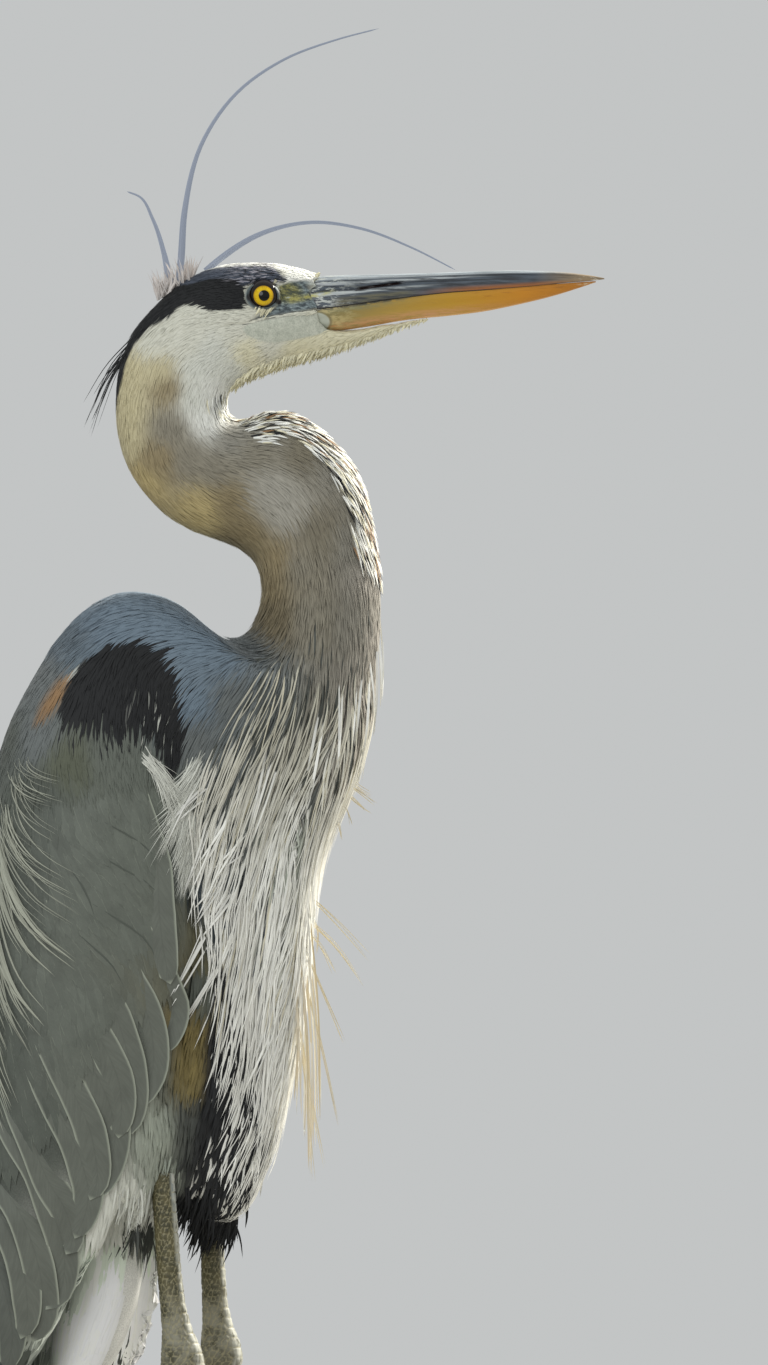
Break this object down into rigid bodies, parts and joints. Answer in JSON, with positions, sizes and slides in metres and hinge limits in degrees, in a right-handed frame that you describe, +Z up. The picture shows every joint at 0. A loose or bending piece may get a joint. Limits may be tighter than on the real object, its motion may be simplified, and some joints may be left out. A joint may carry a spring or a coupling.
{
  "type": "great blue heron",
  "caption": "Life-size still model of a tall wading bird standing upright on long legs, its neck drawn back in an S, with a long dagger bill and loose head and breast plumes.",
  "frame": {"origin": "on the floor, at the middle of the box that holds the whole bird, seen from above", "axes": "+X the way the bird faces, +Y its left, +Z up"},
  "size_m": [0.3434, 0.1724, 0.8693],
  "materials": {
    "plumage_grey": "soft slate-grey feathers",
    "plumage_pale": "soft white to cream feathers",
    "plumage_black": "soft black feathers",
    "plume_slate": "fine grey plumes",
    "bill_horn": "satin dark horn",
    "bill_yellow": "satin orange-yellow horn",
    "eye": "glossy yellow eye with a black pupil",
    "leg_skin": "scaled olive-brown skin",
    "claw": "dark horn"
  },
  "bodies": {
    "root": {"belly_feathers": "plumage_black", "bill_lower": "bill_yellow", "bill_upper": "bill_horn", "breast_plumes": "plumage_pale", "claw_left_hind": "claw", "claw_left_inner": "claw", "claw_left_middle": "claw", "claw_left_outer": "claw", "claw_right_hind": "claw", "claw_right_inner": "claw", "claw_right_middle": "claw", "claw_right_outer": "claw", "crest_arched": "plume_slate", "crest_short": "plume_slate", "crest_tall": "plume_slate", "eye_left": "eye", "eye_right": "eye", "foot_left": "leg_skin", "foot_right": "leg_skin", "head": "plumage_pale", "nape_plumes": "plumage_black", "neck_bend": "plumage_grey", "neck_lower": "plumage_grey", "neck_upper": "plumage_pale", "shank_left": "leg_skin", "shank_right": "leg_skin", "stray_plume_1": "plumage_pale", "stray_plume_2": "plumage_pale", "stray_plume_3": "plumage_pale", "stray_plume_4": "plumage_pale", "stray_plume_5": "plumage_pale", "stray_plume_6": "plumage_pale", "tail": "plumage_grey", "tarsus_left": "leg_skin", "tarsus_right": "leg_skin", "thigh_left": "plumage_grey", "thigh_right": "plumage_grey", "trunk": "plumage_grey", "undertail": "plumage_pale", "wing_left": "plumage_grey", "wing_right": "plumage_grey"}
  },
  "joints": []
}
